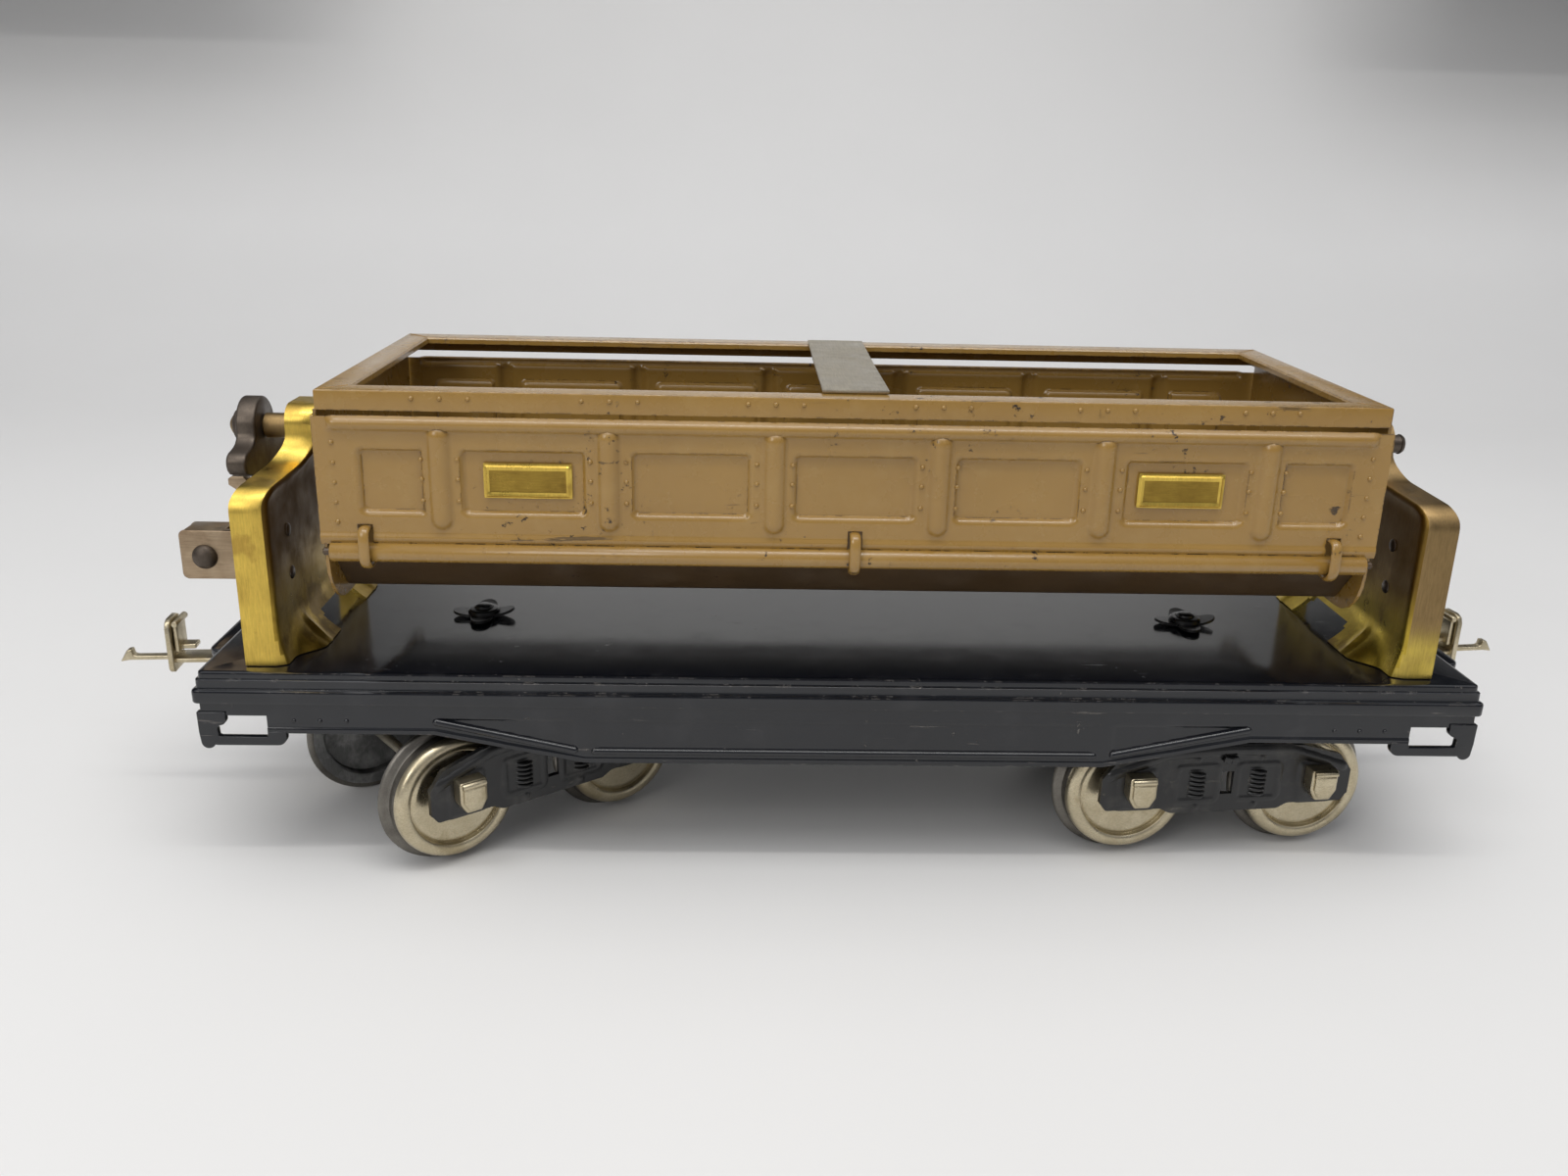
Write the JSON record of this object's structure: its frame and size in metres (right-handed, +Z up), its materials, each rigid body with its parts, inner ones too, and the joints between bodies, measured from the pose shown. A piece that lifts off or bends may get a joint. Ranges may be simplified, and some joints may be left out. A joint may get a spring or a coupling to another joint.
{
  "type": "side-dump model railway car",
  "caption": "Flat-decked model railway car with a side-tipping bin hung between two end frames, on swivelling four-wheel trucks.",
  "frame": {"origin": "on the line that the wheel flanges stand on, under the middle of the deck", "axes": "+X along the car, away from the end with the tipping handle; +Y across the car, away from the near side; +Z up"},
  "size_m": [0.3827, 0.0986, 0.1238],
  "materials": {
    "black_enamel": "glossy black enamel, worn at the edges",
    "tan_enamel": "tan enamel, chipped and scuffed",
    "brass": "polished brass, lightly tarnished",
    "bright_steel": "plain steel with a few scratches",
    "dark_iron": "dark oxidised iron",
    "nickel": "aged nickel plate",
    "truck_black": "black enamel, worn"
  },
  "bodies": {
    "deck": {"deck_frame": "black_enamel", "end_frame_left": "brass", "end_frame_right": "brass", "catch_bracket": "bright_steel", "catch_pin": "dark_iron", "king_pin_left": "truck_black", "king_pin_right": "truck_black", "truck_clip_left": "truck_black", "truck_clip_right": "truck_black"},
    "catch_lever": {"catch_lever": "nickel"},
    "bin": {"bin_top_frame": "tan_enamel", "bin_cross_strap": "bright_steel", "bin_end_left": "tan_enamel", "bin_end_right": "tan_enamel", "bin_floor": "tan_enamel", "pivot_shaft_left": "brass", "pivot_pin_right": "dark_iron", "tipping_handle": "dark_iron"},
    "door_near": {"door_near": "tan_enamel", "hinge_rod_near": "dark_iron", "name_plate_near_left": "brass", "name_plate_near_right": "brass"},
    "door_far": {"door_far": "tan_enamel", "hinge_rod_far": "dark_iron", "name_plate_far_left": "brass", "name_plate_far_right": "brass"},
    "truck_left": {"side_frame_left_near": "truck_black", "side_frame_left_far": "truck_black", "bolster_left": "truck_black", "axle_left_outer": "bright_steel", "axle_left_inner": "bright_steel", "journal_box_left_outer_near": "nickel", "journal_box_left_outer_far": "nickel", "journal_box_left_inner_near": "nickel", "journal_box_left_inner_far": "nickel"},
    "wheel_left_outer_near": {"wheel_left_outer_near": "nickel"},
    "wheel_left_outer_far": {"wheel_left_outer_far": "nickel"},
    "wheel_left_inner_near": {"wheel_left_inner_near": "nickel"},
    "wheel_left_inner_far": {"wheel_left_inner_far": "nickel"},
    "coupler_left": {"coupler_arm_left": "nickel"},
    "coupler_latch_left": {"coupler_latch_left": "nickel"},
    "truck_right": {"side_frame_right_near": "truck_black", "side_frame_right_far": "truck_black", "bolster_right": "truck_black", "axle_right_outer": "bright_steel", "axle_right_inner": "bright_steel", "journal_box_right_outer_near": "nickel", "journal_box_right_outer_far": "nickel", "journal_box_right_inner_near": "nickel", "journal_box_right_inner_far": "nickel"},
    "wheel_right_outer_near": {"wheel_right_outer_near": "nickel"},
    "wheel_right_outer_far": {"wheel_right_outer_far": "nickel"},
    "wheel_right_inner_near": {"wheel_right_inner_near": "nickel"},
    "wheel_right_inner_far": {"wheel_right_inner_far": "nickel"},
    "coupler_right": {"coupler_arm_right": "nickel"},
    "coupler_latch_right": {"coupler_latch_right": "nickel"}
  },
  "joints": [
    {"name": "bin_tilt", "type": "hinge", "parent": "deck", "child": "bin", "pos_m": [0, 0, 0.105], "axis": [1, 0, 0], "range_deg": [-45, 45]},
    {"name": "catch_swing", "type": "hinge", "parent": "deck", "child": "catch_lever", "pos_m": [-0.1673, 0, 0.0705], "axis": [0, 1, 0], "range_deg": [-12, 1], "stiffness_Nm_per_rad": 0.02},
    {"name": "door_near_hinge", "type": "hinge", "parent": "bin", "child": "door_near", "pos_m": [0, -0.0446, 0.0851], "axis": [1, 0, 0], "range_deg": [0, 50]},
    {"name": "door_far_hinge", "type": "hinge", "parent": "bin", "child": "door_far", "pos_m": [0, 0.0446, 0.0851], "axis": [-1, 0, 0], "range_deg": [0, 50]},
    {"name": "truck_left_swivel", "type": "hinge", "parent": "deck", "child": "truck_left", "pos_m": [-0.096, 0, 0.034], "axis": [0, 0, 1], "range_deg": [-77.5, 2.5]},
    {"name": "wheel_left_outer_near_spin", "type": "hinge", "parent": "truck_left", "child": "wheel_left_outer_near", "pos_m": [-0.11544, -0.01491, 0.0185], "axis": [-0.6088, 0.7934, 0], "continuous": true},
    {"name": "wheel_left_outer_far_spin", "type": "hinge", "parent": "truck_left", "child": "wheel_left_outer_far", "pos_m": [-0.11544, -0.01491, 0.0185], "axis": [-0.6088, 0.7934, 0], "continuous": true},
    {"name": "wheel_left_inner_near_spin", "type": "hinge", "parent": "truck_left", "child": "wheel_left_inner_near", "pos_m": [-0.07656, 0.01491, 0.0185], "axis": [-0.6088, 0.7934, 0], "continuous": true},
    {"name": "wheel_left_inner_far_spin", "type": "hinge", "parent": "truck_left", "child": "wheel_left_inner_far", "pos_m": [-0.07656, 0.01491, 0.0185], "axis": [-0.6088, 0.7934, 0], "continuous": true},
    {"name": "coupler_left_swing", "type": "hinge", "parent": "deck", "child": "coupler_left", "pos_m": [-0.096, 0, 0.0428], "axis": [0, 0, 1], "range_deg": [-24, 16]},
    {"name": "coupler_latch_left_lift", "type": "hinge", "parent": "coupler_left", "child": "coupler_latch_left", "pos_m": [-0.1768, -0.00565, 0.0532], "axis": [0.0698, -0.9976, 0], "range_deg": [0, 40]},
    {"name": "truck_right_swivel", "type": "hinge", "parent": "deck", "child": "truck_right", "pos_m": [0.096, 0, 0.034], "axis": [0, 0, 1], "range_deg": [-46.5, 33.5]},
    {"name": "wheel_right_outer_near_spin", "type": "hinge", "parent": "truck_right", "child": "wheel_right_outer_near", "pos_m": [0.12034, 0.00277, 0.0185], "axis": [-0.1132, 0.9936, 0], "continuous": true},
    {"name": "wheel_right_outer_far_spin", "type": "hinge", "parent": "truck_right", "child": "wheel_right_outer_far", "pos_m": [0.12034, 0.00277, 0.0185], "axis": [-0.1132, 0.9936, 0], "continuous": true},
    {"name": "wheel_right_inner_near_spin", "type": "hinge", "parent": "truck_right", "child": "wheel_right_inner_near", "pos_m": [0.07166, -0.00277, 0.0185], "axis": [-0.1132, 0.9936, 0], "continuous": true},
    {"name": "wheel_right_inner_far_spin", "type": "hinge", "parent": "truck_right", "child": "wheel_right_inner_far", "pos_m": [0.07166, -0.00277, 0.0185], "axis": [-0.1132, 0.9936, 0], "continuous": true},
    {"name": "coupler_right_swing", "type": "hinge", "parent": "deck", "child": "coupler_right", "pos_m": [0.096, 0, 0.0428], "axis": [0, 0, 1], "range_deg": [-28, 12]},
    {"name": "coupler_latch_right_lift", "type": "hinge", "parent": "coupler_right", "child": "coupler_latch_right", "pos_m": [0.17621, 0.01127, 0.0532], "axis": [-0.1392, 0.9903, 0], "range_deg": [0, 40]}
  ]
}
